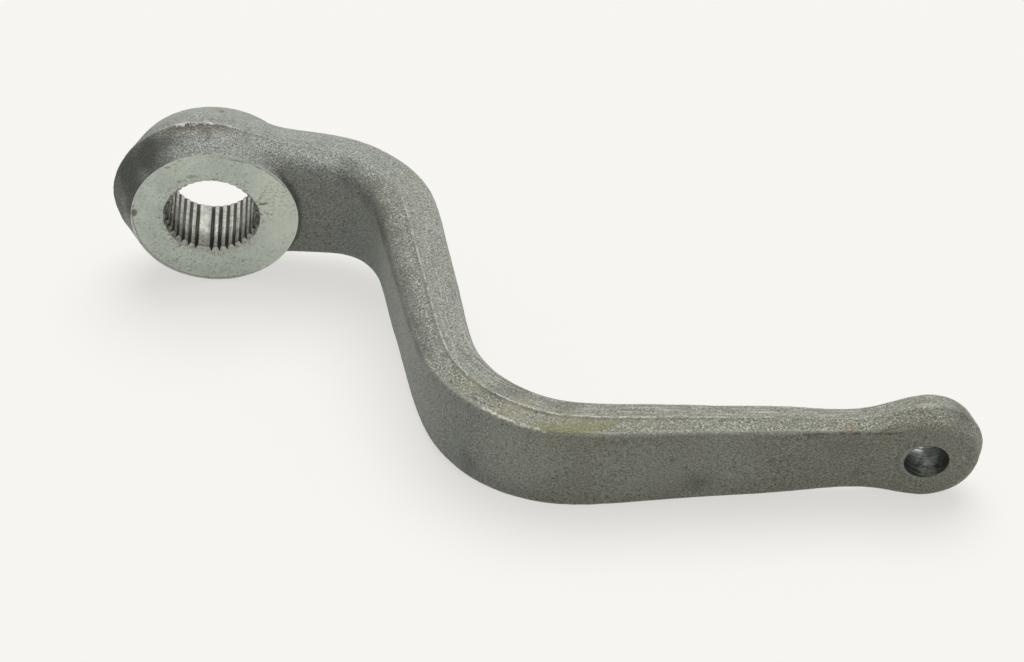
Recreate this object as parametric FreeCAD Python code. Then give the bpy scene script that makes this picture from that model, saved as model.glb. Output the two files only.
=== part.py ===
"""Forged steering arm with an S bend: a serrated boss at one end, a stud eye at the other.

Millimetres, +Z up. The bore runs along Y with the origin at its middle, the machined front
face of the boss looks to -Y and the arm runs to +X. The bend lies in the XY plane and Z is
the arm's width. The sizes in Y below are counted from the front face of the boss.
"""
import math
import os
import FreeCAD, Part

Vec = FreeCAD.Vector
UP = Vec(0, 0, 1)

# Boss: two drafted halves that meet at the parting rim, faced off square on both sides. The
# forging sits a little off the bore, and its end bulges away from the arm at the rim.
BOSS_DEPTH = 23.5
BOSS_FRONT_RADIUS = 27.8
BOSS_FRONT_X = 1.0
BOSS_FRONT_Z = -0.5
BOSS_RIM_RADIUS = 30.6
BOSS_RIM_X = -2.5
BOSS_RIM_DEPTH = 12.2
BOSS_BACK_RADIUS = 28.0
BOSS_BACK_X = 0.2

# Serrated bore: V grooves cut into a plain bore, with one left out in each quarter.
SPLINE_PITCHES = 36
SPLINE_BLANKS = 4
SPLINE_TURN = 15.0
LAND_RADIUS = 14.5
GROOVE_RADIUS = 15.875
GROOVE_ANGLE = 58.0
MOUTH_RADIUS = 16.15

# Bar: its centre line in plan, with a tangent arc at each of the two corners.
ROOT_Y = 15.4
UPPER_CORNER_X = 61.4
UPPER_CORNER_Y = 5.0
UPPER_BEND_RADIUS = 33.5
LOWER_CORNER_X = 82.2
LOWER_CORNER_Y = -113.5
LOWER_BEND_RADIUS = 45.2

# Bar section: half heights at the front corner, and thickness, from the boss to the eye.
ROOT_HALF = 24.9
NECK_HALF = 21.3
UPPER_HALF = 17.4
SHANK_HALF = 16.8
LOWER_HALF = 16.9
TIP_HALF = 12.4
ROOT_THICK = 16.0
UPPER_THICK = 20.2
SHANK_THICK = 19.4
LOWER_THICK = 15.6
TIP_THICK = 10.8
DRAFT_ANGLE = 8.0
PARTING_SHARE = 0.47
ROOT_ROUND = 6.5
UPPER_ROUND = 4.6
SHANK_ROUND = 1.6
TIP_ROUND = 1.1
BACK_ROUND = 1.6
ROOT_START = 12.0
NECK_START = 26.0

# Eye: the bar widens to it and its end is turned about the stud hole.
EYE_X = 222.0
EYE_Y = -115.3
EYE_FRONT_HALF = 15.6
EYE_RIM_HALF = 18.0
EYE_BACK_HALF = 15.8
EYE_THICK = 13.6
EYE_ROUND = 3.2
EYE_FLARE = 20.0
STUD_RADIUS = 6.95
STUD_TAPER = 0.05


def centre_line():
    """Runs of the bar's centre line as (length, place at a distance along the run)."""
    corners = [
        Vec(0, ROOT_Y, 0),
        Vec(UPPER_CORNER_X, UPPER_CORNER_Y, 0),
        Vec(LOWER_CORNER_X, LOWER_CORNER_Y, 0),
        Vec(EYE_X, EYE_Y, 0),
    ]
    radii = [0, UPPER_BEND_RADIUS, LOWER_BEND_RADIUS, 0]
    runs = []
    start = corners[0]
    for i in (1, 2):
        into = (corners[i] - corners[i - 1]).normalize()
        out = (corners[i + 1] - corners[i]).normalize()
        turn = math.atan2(into.cross(out).z, into.dot(out))
        reach = radii[i] * math.tan(abs(turn) / 2)
        first = corners[i] - into * reach
        runs.append(straight(start, first))
        runs.append(bend(first, into, turn, radii[i]))
        start = corners[i] + out * reach
    runs.append(straight(start, corners[3]))
    return runs


def straight(a, b):
    way = (b - a).normalize()
    return (b - a).Length, lambda s: (a + way * s, way)


def bend(start, into, turn, radius):
    side = 1 if turn > 0 else -1
    hub = start + UP.cross(into) * (radius * side)

    def place(s):
        spin = FreeCAD.Rotation(UP, math.degrees(s / radius * side))
        return hub + spin.multVec(start - hub), spin.multVec(into)

    return radius * abs(turn), place


def ramp(s, marks):
    """Value at s on straight ramps between (distance, value) marks."""
    if s <= marks[0][0]:
        return marks[0][1]
    for (s0, v0), (s1, v1) in zip(marks, marks[1:]):
        if s <= s1:
            return v0 + (v1 - v0) * (s - s0) / (s1 - s0)
    return marks[-1][1]


def ease(share):
    """Smooth step from 0 to 1."""
    t = min(1.0, max(0.0, share))
    return t * t * (3 - 2 * t)


def rounded_corner(corner, to_a, to_b, radius):
    """Poles of the cubic that follows the arc rounding a corner between two directions."""
    half = to_a.getAngle(to_b) / 2
    reach = radius / math.tan(half)
    sweep = math.pi - 2 * half
    grip = reach - radius * math.tan(sweep / 4) * 4 / 3
    return [
        corner + to_a * reach, corner + to_a * grip, corner + to_b * grip, corner + to_b * reach,
    ]


def line(a, b):
    return Part.LineSegment(a, b).toShape()


def rounding(poles):
    curve = Part.BezierCurve()
    curve.setPoles(poles)
    return curve.toShape()


def section(place, way, front, rim, back, thick, front_round, back_round):
    """Closed outline of the bar: flat front and back, drafted sides that meet at the parting."""
    out = way.cross(UP)
    split = thick * (0.5 - PARTING_SHARE)

    def at(n, z):
        return place + out * n + UP * z

    face_f = at(thick / 2, front)
    face_b = at(-thick / 2, back)
    rim_top = at(split, rim)
    top_f = rounded_corner(face_f, UP * -1, (rim_top - face_f).normalize(), front_round)
    top_b = rounded_corner(face_b, (rim_top - face_b).normalize(), UP * -1, back_round)
    top = [*top_f, rim_top, *top_b]
    low = [Vec(p.x, p.y, 2 * place.z - p.z) for p in top]
    edges = [
        line(low[0], top[0]),
        rounding(top[0:4]),
        line(top[3], top[4]),
        line(top[4], top[5]),
        rounding(top[5:9]),
        line(top[8], low[8]),
        rounding(low[8:4:-1]),
        line(low[5], low[4]),
        line(low[4], low[3]),
        rounding(low[3::-1]),
    ]
    return Part.Wire(edges), top


def bar_sections():
    runs = centre_line()
    ends = [0]
    for length, _ in runs:
        ends.append(ends[-1] + length)
    upper = (ends[1] + ends[2]) / 2
    shank = (ends[2] + ends[3]) / 2
    lower = (ends[3] + ends[4]) / 2
    flare = ends[5] - EYE_FLARE
    halves = [
        (NECK_START, NECK_HALF), (upper, UPPER_HALF),
        (shank, SHANK_HALF), (lower, LOWER_HALF), (flare, TIP_HALF), (ends[5], TIP_HALF),
    ]
    thicks = [
        (0, ROOT_THICK), (upper, UPPER_THICK), (shank, SHANK_THICK), (lower, LOWER_THICK),
        (flare, TIP_THICK), (ends[5], EYE_THICK),
    ]
    rounds = [
        (NECK_START, ROOT_ROUND), (upper, UPPER_ROUND), (shank, SHANK_ROUND),
        (lower, TIP_ROUND), (flare, TIP_ROUND), (ends[5], EYE_ROUND),
    ]
    stops = [ROOT_START + (NECK_START - ROOT_START) * k / 4 for k in range(5)]
    stops += [ends[1] + (ends[2] - ends[1]) * k / 6 for k in range(7)]
    stops += [ends[2] + (ends[3] - ends[2]) * k / 3 for k in (1, 2)]
    stops += [ends[3] + (ends[4] - ends[3]) * k / 6 for k in range(7)]
    stops += [ends[4] + (flare - ends[4]) * k / 4 for k in (1, 2, 3, 4)]
    stops += [flare + EYE_FLARE * k for k in (0.25, 0.5, 0.75, 1)]
    slope = math.tan(math.radians(DRAFT_ANGLE))
    wires = []
    for s in stops:
        for i, (length, place) in enumerate(runs):
            if s <= ends[i + 1] + 1e-6:
                break
        point, way = place(s - ends[i])
        thick = ramp(s, thicks)
        front = ramp(s, halves)
        rim = front + thick * PARTING_SHARE * slope
        back = rim - thick * (1 - PARTING_SHARE) * slope
        swell = (ROOT_HALF - NECK_HALF) * ease((NECK_START - s) / (NECK_START - ROOT_START))
        front, rim, back = front + swell, rim + swell, back + swell
        share = ease((s - flare) / EYE_FLARE)
        front += (EYE_FRONT_HALF - front) * share
        rim += (EYE_RIM_HALF - rim) * share
        back += (EYE_BACK_HALF - back) * share
        if s > flare:
            way = Vec(1, 0, 0)
        wire, top = section(
            point, way, front, rim, back, thick, ramp(s, rounds), BACK_ROUND
        )
        wires.append(wire)
    return wires, top


def bar():
    wires, top = bar_sections()
    shaft = Part.makeLoft(wires, True, False)
    hub = Vec(EYE_X, 0, 0)
    mid_front = Vec(EYE_X, top[0].y, 0)
    mid_back = Vec(EYE_X, top[8].y, 0)
    half = Part.Wire([
        line(mid_front, top[0]),
        rounding(top[0:4]),
        line(top[3], top[4]),
        line(top[4], top[5]),
        rounding(top[5:9]),
        line(top[8], mid_back),
        line(mid_back, mid_front),
    ])
    tip = Part.Face(half).revolve(hub, Vec(0, 1, 0), 180)
    return shaft.fuse(tip)


def boss_outline(x, depth, z, radius):
    circle = Part.Circle(Vec(x, depth, z), Vec(0, 1, 0), radius)
    return Part.Wire(circle.toNurbs().toShape())


def boss():
    front = boss_outline(BOSS_FRONT_X, 0, BOSS_FRONT_Z, BOSS_FRONT_RADIUS)
    rim = boss_outline(BOSS_RIM_X, BOSS_RIM_DEPTH, 0, BOSS_RIM_RADIUS)
    back = boss_outline(BOSS_BACK_X, BOSS_DEPTH, 0, BOSS_BACK_RADIUS)
    return Part.makeLoft([front, rim, back], True, True)


def groove():
    """Cutter for one V groove, pointing to -Z, longer than the boss."""
    half = math.radians(GROOVE_ANGLE / 2)
    inner = LAND_RADIUS - 1.5
    width = (GROOVE_RADIUS - inner) * math.tan(half)
    tri = Part.makePolygon([
        Vec(0, -1, -GROOVE_RADIUS),
        Vec(width, -1, -inner),
        Vec(-width, -1, -inner),
        Vec(0, -1, -GROOVE_RADIUS),
    ])
    return Part.Face(tri).extrude(Vec(0, BOSS_DEPTH + 2, 0))


def bore_cutter():
    back = Vec(0, 1, 0)
    cut = Part.makeCylinder(LAND_RADIUS, BOSS_DEPTH + 2, Vec(0, -1, 0), back)
    step = 360.0 / SPLINE_PITCHES
    every = SPLINE_PITCHES // SPLINE_BLANKS
    grooves = []
    for k in range(SPLINE_PITCHES):
        if k % every == 0:
            continue
        one = groove()
        one.rotate(Vec(0, 0, 0), back, SPLINE_TURN + k * step)
        grooves.append(one)
    cut = cut.fuse(grooves)
    deep = MOUTH_RADIUS - LAND_RADIUS + 1.0
    wide = MOUTH_RADIUS + 1.0
    front = Part.makeCone(wide, wide - deep, deep, Vec(0, -1, 0), back)
    rear = Part.makeCone(wide - deep, wide, deep, Vec(0, BOSS_DEPTH + 1 - deep, 0), back)
    return cut.fuse([front, rear])


def stud_cutter():
    long = EYE_THICK + 2
    start = Vec(EYE_X, EYE_Y - long / 2, 0)
    wide = STUD_RADIUS + STUD_TAPER
    return Part.makeCone(wide, wide - STUD_TAPER * long, long, start, Vec(0, 1, 0))


def arm():
    body = boss().fuse(bar()).removeSplitter()
    body = body.cut([bore_cutter(), stud_cutter()])
    body.translate(Vec(0, -BOSS_DEPTH / 2, 0))
    return body


shape = arm()
print("solids", len(shape.Solids), "valid", shape.isValid(), "volume", round(shape.Volume))
os.makedirs("parts", exist_ok=True)
shape.exportStep("parts/arm.step")
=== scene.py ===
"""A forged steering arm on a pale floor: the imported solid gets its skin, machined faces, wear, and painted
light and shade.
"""
import math

import bmesh
import bpy
import numpy as np
from mathutils import Matrix, Vector, noise
from mathutils.bvhtree import BVHTree
from mathutils.kdtree import KDTree


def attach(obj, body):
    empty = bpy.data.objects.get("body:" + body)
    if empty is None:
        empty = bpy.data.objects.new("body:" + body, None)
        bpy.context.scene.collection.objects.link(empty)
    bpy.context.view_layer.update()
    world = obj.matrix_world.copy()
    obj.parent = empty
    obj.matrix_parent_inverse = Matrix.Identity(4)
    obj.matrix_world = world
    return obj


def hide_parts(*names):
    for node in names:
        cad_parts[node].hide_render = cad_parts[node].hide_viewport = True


# Sizes are in millimetres and angles in degrees unless a name says otherwise
MM = 0.001

# Sizes that the frame's solid has too
BOSS_HALF_DEPTH = 11.75
BOSS_FRONT_RADIUS = 27.8
BOSS_FRONT_MIDDLE = (1.0, -0.5)
BOSS_RIM_RADIUS = 30.6
BOSS_RIM_MIDDLE = (-2.5, 0.0)
BOSS_RIM_Y = 0.45
BOSS_BACK_RADIUS = 28.0
BOSS_BACK_MIDDLE = (0.2, 0.0)
BORE_AXIS = (0.0, 0.0)
BORE_REACH = 16.10
LAND_RADIUS = 14.5
CHAMFER_START = BOSS_HALF_DEPTH - (BORE_REACH - LAND_RADIUS)
STUD_AXIS = (222.0, 0.0)
STUD_Y = -127.05
STUD_HALF_DEPTH = 6.8
STUD_REACH = 6.93

# The raw forging before its faces are machined
RAW_ALLOWANCE = 0.7
PLUG_OVERLAP = 5.0
PLUG_CLEARANCE = 0.03
PLUG_COVER = 1.5
ROUND_SIDES = 160
MERGE_REACH = 0.0005
VOXEL = 0.72
SETTLE_ROUNDS = 3
SETTLE_IN = 0.6
SETTLE_OUT = -0.62
ROOT_ROUNDS = 140
ROOT_SHARE = 0.8
ROOT_REACH = 14.0
ROOT_CORE = 0.35 * ROOT_REACH
ROOT_END_X = 36.0
SPREAD_ROUNDS = 4
SPREAD_SHARE = 0.5
RING_GUARD = (-10.5, -7.5)
BACK_GUARD = (8.0, 10.5)

# What tells the parting ridge and the inner creases from the solid's other edges
CREASE_ANGLES = (8.0, 75.0)
CLEAR_OF_BORE = 20.0
CLEAR_OF_STUD = 9.0
SLOPE_LIMIT = 0.75
SAME_WAY = 0.5
LEVEL = 0.85
CREASE_STEP = 0.4
CLEAR_OF_BOSS = 45.0
PARTING_REACH = 6.0

# The skin's unevenness: height and width of each kind of wave
WAVES = ((0.14, 24.0), (0.07, 8.0), (0.045, 2.6), (0.035, 1.3))
SEED_SHIFT = (17.3, 5.1, 11.7)

# The flash along the parting line, trimmed on the bar and torn over the boss.
# Each noise is a bump width and a seed.
FLASH_HEIGHT = 0.34
FLASH_WIDTH = 0.6
FLASH_NOISE = (9.0, 9)
FLASH_BREAKS = (-0.25, 0.35)
TORN_HEIGHT = 0.45
TORN_NOISE = (2.4, 12)
TORN_EVEN = 0.6
TORN_UNEVEN = 0.7
TORN_MIDDLE_X = -2.0
TORN_BESIDE = (4.0, 17.0)
TORN_ABOVE = (10.0, 20.0)

# The cuts that machine the boss and the stud hole
FACING_DEPTH = 6.0
FRONT_CUT_RADIUS = 30.0
BACK_CUT_RADIUS = 31.5
BORE_OVERHANG = 3.0
STUD_CUT_HALF = 10.0

# The four kinds of face, and what tells them apart
SKIN, MACHINED, BORE, STUD = range(4)
FLAT_TOLERANCE = 0.01
FLAT_REACH = 32.0
FLAT_FACING = 0.999
BORE_TOLERANCE = 0.05
BORE_END = 0.005
STUD_TOLERANCE = 0.01
SHARP_ANGLE = 38.0

# Marks on the skin: the middle, the reach along each axis and the strength of each
SCALE_AND_PAINTED_SHADE = (
    # Dark scale and painted shade: these blots also darken the boss's left and lower sides and the top's back
    # half at the lower bend, where shade falls
    ((-26.0, -5.0, 13.0), (17.0, 22.0, 20.0), 1.0),
    ((-19.5, -5.0, 22.0), (15.0, 16.0, 12.0), 1.0),
    ((-31.0, 2.0, -4.0), (12.0, 16.0, 18.0), 0.8),
    ((-10.0, -4.5, 27.0), (11.0, 7.0, 7.0), 0.4),
    ((96.0, -114.5, 17.0), (14.0, 7.0, 5.0), 0.4),
    ((114.0, -120.5, 16.5), (16.0, 5.5, 4.0), 0.4),
    ((222.0, -127.0, 17.0), (18.0, 12.0, 5.0), 0.2),
    ((232.0, -126.5, 14.0), (8.0, 8.0, 6.0), 0.5),
    ((-14.0, -8.0, -27.0), (16.0, 9.0, 9.0), 0.5),
    ((60.0, 4.0, -6.0), (9.0, 16.0, 12.0), 0.5),
    ((150.0, -119.0, 3.0), (22.0, 4.0, 9.0), 0.45),
    ((152.7, -132.6, -7.0), (9.0, 3.0, 7.0), 0.45),
    ((83.0, -118.6, -9.0), (6.0, 6.0, 8.0), 0.4),
)
TAN_STAINS = (
    ((84.0, -113.0, 17.5), (9.0, 10.0, 5.0), 0.45),
    ((97.0, -123.0, 17.0), (13.0, 8.0, 4.0), 0.6),
    ((112.0, -127.0, 16.5), (17.0, 6.0, 4.0), 0.55),
    ((134.0, -128.5, 15.7), (18.0, 4.5, 4.0), 0.35),
    ((3.4, 9.7, 28.2), (3.0, 2.2, 2.2), 1.0),
    ((120.0, -118.0, -8.0), (18.0, 4.0, 7.0), 0.4),
)
BROWN_STAINS = (
    ((0.4, -2.7, 29.7), (5.0, 2.4, 2.2), 0.6),
    ((1.1, -5.0, 29.0), (2.4, 2.4, 2.0), 0.45),
    ((-5.0, -1.8, 29.9), (7.0, 1.2, 1.6), 0.5),
    ((4.9, 8.8, 28.3), (1.8, 1.6, 1.6), 0.9),
    ((2.1, 3.4, 29.6), (1.6, 1.2, 1.2), 0.75),
    ((57.5, -40.0, 15.0), (4.5, 11.0, 5.0), 0.55),
    ((-18.4, -3.7, 24.0), (5.0, 2.0, 4.0), 0.35),
    ((144.6, -132.6, 3.2), (1.3, 1.0, 1.1), 0.8),
    ((148.7, -132.6, -1.0), (1.0, 1.0, 0.9), 0.6),
    ((187.0, -132.2, 10.6), (7.0, 1.5, 2.0), 0.35),
    ((195.6, -132.0, 5.4), (8.0, 1.6, 6.0), 0.3),
    ((201.2, -132.2, -5.7), (3.8, 2.0, 2.8), 0.45),
    ((-20.0, 9.0, -16.0), (6.0, 5.0, 8.0), 0.6),
)
RUST_SPOTS = (
    ((198.7, -131.0, 12.3), (1.0, 2.6, 2.4), 0.5),
    ((185.9, -132.2, -6.7), (0.7, 1.0, 1.0), 0.7),
    ((201.6, -132.2, -4.4), (0.8, 1.0, 0.9), 0.5),
    ((182.0, -132.6, -1.0), (0.6, 1.0, 0.6), 0.5),
)
PAINTED_FRONT_LIGHT = (
    # painted light: a lighter patch on the lower bar's front faces in place of fill light
    ((98.0, -127.0, 0.0), (30.0, 16.0, 20.0), 0.9),
    ((142.0, -133.0, 0.0), (44.0, 8.0, 20.0), 0.6),
)

# For each kind of mark: its list, the seed and the bump width of its ragged edge, and the share
# of its reach that it covers fully
MARKS = {
    "pale": (PAINTED_FRONT_LIGHT, 45, 16.0, 0.1),
    # these marks hold painted shade as well as dark scale
    "scale": (SCALE_AND_PAINTED_SHADE, 41, 6.0, 0.0),
    "tan": (TAN_STAINS, 42, 7.0, 0.1),
    "brown": (BROWN_STAINS, 43, 3.0, 0.2),
    "rust": (RUST_SPOTS, 44, 2.0, 0.45),
}
MARK_RAGGED = 0.35
MARK_END = 1.1

# Lines on the skin: the places that each runs through and its reach
VALLEY_SHADE_LINES = (
    # painted shade along the crease of the upper bend and the shank's top front corner, laid with the scale
    (((46.0, -11.0, 17.8), (52.5, -19.0, 17.0), (56.0, -30.0, 16.2), (58.5, -42.0, 16.4)), 9.0),
    (((58.5, -42.0, 16.4), (62.5, -61.0, 16.7), (66.0, -80.0, 16.9), (70.0, -96.0, 16.9)), 6.5),
)
OLIVE_LINES = (
    (((103.0, -130.0, 16.1), (111.0, -131.1, 16.0), (119.0, -130.4, 16.0)), 3.8),
    (((119.0, -130.4, 16.0), (127.0, -128.8, 16.0)), 2.8),
)
CHIP_AND_HIGHLIGHT_LINES = (
    # edge chips with painted highlights: bright dashes along the lower bend's front top edge and a speck on
    # the eye
    (((88.0, -121.4, 16.9), (94.2, -125.8, 16.5), (98.8, -128.4, 16.2), (106.3, -131.1, 15.7)), 3.0),
    (((232.7, -133.8, 1.9), (233.2, -133.8, 1.4)), 3.0),
)
RUSTY_EDGES = (
    (((184.0, -132.3, 12.0), (193.0, -132.2, 11.6), (201.0, -132.2, 11.5)), 3.0),
    (((203.0, -132.3, 11.4), (209.6, -132.9, 11.7), (213.5, -133.3, 12.2)), 3.0),
)

# How the valleys' painted shade and the olive lines fade and fray. Each noise is a bump width and a seed.
VALLEY_NOISE = (5.0, 47)
VALLEY_UNEVEN = 0.25
VALLEY_FADE = (0.05, 0.95)
VALLEY_SHADE_STRENGTH = 0.55
OLIVE_NOISE = (3.0, 49)
OLIVE_UNEVEN = 0.2
OLIVE_FADE = (0.1, 0.8)
OLIVE_FACING = (0.35, 0.75)

# How clear the parting line is at stations along the bar
SEAM_STATIONS = (
    0.0, 25.0, 42.0, 60.0, 78.0, 90.0, 120.0, 140.0, 160.0, 174.0, 192.0, 215.0, 252.0, 280.0, 292.0,
)
SEAM_CLARITY = (0.5, 0.35, 0.12, 0.15, 0.35, 0.45, 0.5, 0.5, 0.7, 1.0, 1.0, 0.75, 0.4, 0.15, 0.0)
SEAM_SIDE_LIMIT = 9.0

# The centre line of the bar in X and Y, and the radius of its two bends
CENTRE_CORNERS = ((0.0, 3.65), (61.4, -6.75), (82.2, -125.25), (222.0, -127.05), (242.0, -127.3))
CENTRE_BENDS = (33.5, 45.2)
CENTRE_STEPS = 120

# How far a point stands out from its neighbours where it counts as a full bulge
BULGE_FULL = 0.06

# Zones of the skin: where each fades in, by the way it faces or by its place on the bar
TOP_FACING = (0.45, 0.85)
BEHIND_ACROSS = (-1.5, 3.0)
ZONE_SHIFT = 10.0
BEND_NOISE = (22.0, 33)
PAST_BEND = (120.0, 165.0)
BOSS_NOISE = (22.0, 34)
NEAR_BOSS = (20.0, 62.0)
FLOW_ON_TOP = 0.12
FLOW_BEHIND = 0.25
FLOW_PAST_BEND = 0.75
FLOW_NEAR_BOSS = 0.35
# rough grain on upward faces, with painted glints and painted relief shading
COARSE_FACING = (0.1, 0.6)
COARSE_LOST_BEHIND = 0.7
COARSE_LOST_NEAR_BOSS = 0.35
CALM_FACING = (0.2, 0.7)
CALM_ACROSS = (-6.0, 0.0)
# painted shade on the upward faces past the first bend, strongest on their front half
TOP_SHADE_LOST_BEHIND = 0.55
TOP_SHADE_ALONG = (40.0, 70.0)
WARM_NOISE = (20.0, 31)
WARM_SHIFT = 12.0
WARM_X = (70.0, 118.0)

# Noises in the materials: bump width, detail and roughness
SKIN_NOISES = {
    "broad": (28.0, 3.0, 0.55),
    "patchy": (6.0, 4.0, 0.6),
    "grain": (0.62, 2.0, 0.6),
    "fine": (0.34, 1.0, 0.6),
    "lip_noise": (1.8, 3.0, 0.55),
    "break_noise": (3.2, 3.0, 0.55),
    "speckle_noise": (1.3, 4.0, 0.65),
}
RING_NOISES = {
    "broad": (12.0, 3.0, 0.55),
    "pits": (1.2, 4.0, 0.75),
    "fine": (0.5, 2.0, 0.65),
    "zone_noise": (14.0, 2.0, 0.55),
    "wobble_noise": (3.0, 3.0, 0.55),
    "faint_noise": (5.0, 2.0, 0.55),
}
# a noise for grime in the bore, and for grime and painted shade in the stud hole
BORE_NOISES = {"dirt_and_shade": (2.2, 4.0, 0.7), "spots": (0.9, 3.0, 0.7)}
STUD_NOISES = {"dirt_and_shade": (2.5, 4.0, 0.7)}

# The skin's drawn-out streaks, the turning strokes on the ring and the rings in the stud hole
STREAK_LENGTH = 14.0
STREAK_WIDTH = 0.55
STREAK_DETAIL = (3.0, 0.6)
STROKE_TURNS = 48.0
STROKE_WIDTH = 3.2
STROKE_DETAIL = (3.0, 0.65)
RINGS_SLANT = (0.25, 1.0, 0.1)
RINGS_WIDTH = 0.7
RINGS_DETAIL = 3.0

# The sockets of a node that mixes two colours
MIX_SHARE, MIX_BASE, MIX_TINT, MIX_RESULT = 0, 6, 7, 2

# Tints, laid one over the other: the zone that each keeps to, the field that it follows, the
# field's values where it starts and where it is full, its strength, and its display colour
SKIN_GROUND = (132, 138, 132)
SKIN_TINTS = (
    (None, "broad", (0.35, 0.65), 1.0, (144, 147, 140)),
    ("warm", None, None, 1.0, (139, 138, 124)),
    (None, "patchy", (0.42, 0.75), 0.35, (121, 124, 116)),
    # painted shade on the tops past the first bend
    ("top_shade", None, None, 0.7, (114, 114, 99)),
    # painted light on the lower bar's front faces
    ("pale", None, None, 0.8, (166, 170, 157)),
    (None, "grain", (0.50, 0.30), 0.75, (82, 84, 76)),
    (None, "grain", (0.52, 0.70), 0.55, (184, 187, 178)),
    (None, "fine", (0.50, 0.28), 0.5, (88, 90, 82)),
    (None, "fine", (0.52, 0.74), 0.5, (198, 200, 192)),
    # rough grain on upward faces: dark specks with painted relief shading, light specks as painted glints
    ("coarse_and_glints", "grain", (0.44, 0.32), 0.5, (62, 64, 56)),
    ("coarse_and_glints", "grain", (0.57, 0.68), 0.3, (212, 214, 203)),
    ("flow", "streak", (0.52, 0.70), 0.6, (186, 190, 182)),
    ("flow", "streak", (0.48, 0.30), 0.7, (92, 94, 86)),
    ("calm", None, None, 0.5, (154, 160, 151)),
    # lighter on bulges as edge wear with a painted highlight, darker in hollows as painted shade
    (None, "bulge", (0.25, 1.0), 0.4, (176, 178, 168)),
    (None, "bulge", (-0.1, -0.9), 0.45, (88, 87, 77)),
    # painted shade in the hollow under the torn flash, painted shadow beside the parting line and a painted
    # highlight on its lip
    ("torn", "from_hollow", (2.0, 0.4), 0.55, (84, 76, 58)),
    ("clarity", "from_shade", (0.8, 0.15), 0.6, (78, 76, 66)),
    ("clear_lip", "from_lip", (1.0, 0.3), 0.75, (218, 219, 209)),
    (None, "tan", (0.0, 1.0), 0.75, (140, 136, 112)),
    ("olive", None, None, 0.6, (122, 120, 76)),
    # dark scale with painted shade, from the blots and along the valleys
    (None, "scale", (0.0, 1.0), 0.92, (57, 60, 55)),
    (None, "brown", (0.0, 1.0), 0.7, (88, 76, 55)),
    (None, "rusty_speckle", (0.80, 0.94), 0.75, (92, 78, 58)),
    # edge chips with painted highlights
    (None, "chip_and_highlight_speckle", (0.80, 0.92), 0.8, (216, 214, 200)),
    (None, "rust", (0.0, 1.0), 0.75, (158, 112, 52)),
)
RING_GROUND = (188, 197, 187)
RING_TINTS = (
    (None, "broad", (0.35, 0.65), 1.0, (204, 211, 200)),
    (None, "stroke", (0.48, 0.34), 0.32, (142, 149, 139)),
    (None, "stroke", (0.56, 0.72), 0.30, (226, 231, 223)),
    (None, "fine", (0.48, 0.28), 0.6, (130, 136, 126)),
    (None, "fine", (0.54, 0.74), 0.5, (226, 230, 222)),
    (None, "pits", (0.42, 0.30), 0.8, (104, 102, 88)),
    # painted reflection: the machined face lighter towards +X
    (None, "x", (6.0 * MM, 27.0 * MM), 0.6, (222, 228, 216)),
    ("rough_zone", "pits", (0.50, 0.38), 0.5, (128, 130, 116)),
    ("near_bore", "pits", (0.50, 0.36), 0.7, (112, 104, 82)),
    ("on_right", "past_line", (0.0, 0.3 * MM), 0.45, (150, 154, 144)),
    ("faint_right", "from_line", (0.34 * MM, 0.10 * MM), 0.7, (96, 98, 88)),
    ("lower_left", "from_rim_line", (0.36 * MM, 0.10 * MM), 0.6, (112, 114, 104)),
    ("faint", "inset", (0.55 * MM, 0.2 * MM), 0.5, (228, 230, 220)),
)
BORE_GROUND = (206, 208, 198)
BORE_TINTS = (
    (None, "dirt_and_shade", (0.35, 0.7), 1.0, (160, 161, 149)),
    (None, "chamfer", (0.0, 0.2 * MM), 0.7, (238, 239, 230)),
    (None, "from_chamfer", (0.35 * MM, 0.1 * MM), 0.55, (112, 106, 88)),
    (None, "spots", (0.44, 0.32), 0.85, (96, 84, 62)),
    # painted shade on the bore's side walls, broken up by noise
    ("shaded_sides", "dirt_and_shade", (0.30, 0.58), 0.8, (56, 54, 46)),
    # painted shade in the serration grooves
    (None, "groove", (0.02 * MM, 0.42 * MM), 0.95, (34, 33, 26)),
)
STUD_GROUND = (72, 79, 74)
STUD_TINTS = (
    # painted shade deepening the stud hole's wall to near black, uneven with grime
    (None, "dirt_and_shade", (0.30, 0.62), 1.0, (30, 34, 28)),
    # turning rings with painted highlights
    (None, "rings", (0.50, 0.64), 0.5, (134, 142, 134)),
    (None, "rings", (0.48, 0.36), 0.6, (24, 27, 22)),
    # painted light near the middle of the stud hole's mouth
    ("mouth_middle", "dirt_and_shade", (0.62, 0.44), 0.6, (150, 158, 150)),
    # painted highlight deep on the hole's left
    ("deep_left", "rings", (0.40, 0.56), 0.9, (232, 236, 228)),
    # painted shade on the stud hole's side walls
    (None, "from_axis", (4.2 * MM, 6.6 * MM), 0.75, (22, 24, 18)),
)

# Relief in the materials: the field, its depth and its strength
SKIN_RELIEF = (("patchy", 0.14, 0.5), ("flowing", 0.12, 0.7), ("grain", 0.34, 0.9), ("fine", 0.16, 0.9))
RING_RELIEF = (("stroke", 0.02, 0.5), ("pits", 0.10, 0.6), ("fine", 0.05, 0.6))
BORE_RELIEF = (("spots", 0.05, 0.5),)
STUD_RELIEF = (("rings", 0.05, 0.5), ("dirt_and_shade", 0.08, 0.5))

# Gloss: how metallic each surface is, and the range of its roughness over a field's values
SKIN_METALLIC = 0.25
SKIN_ROUGHNESS = (0.3, 0.7, 0.72, 0.48)
RING_METALLIC = 0.65
RING_ROUGHNESS = (0.3, 0.7, 0.42, 0.58)
BORE_METALLIC = 0.3
BORE_ROUGHNESS = 0.45
STUD_METALLIC = 0.15
STUD_ROUGHNESS = (0.35, 0.65, 0.45, 0.65)

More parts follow.
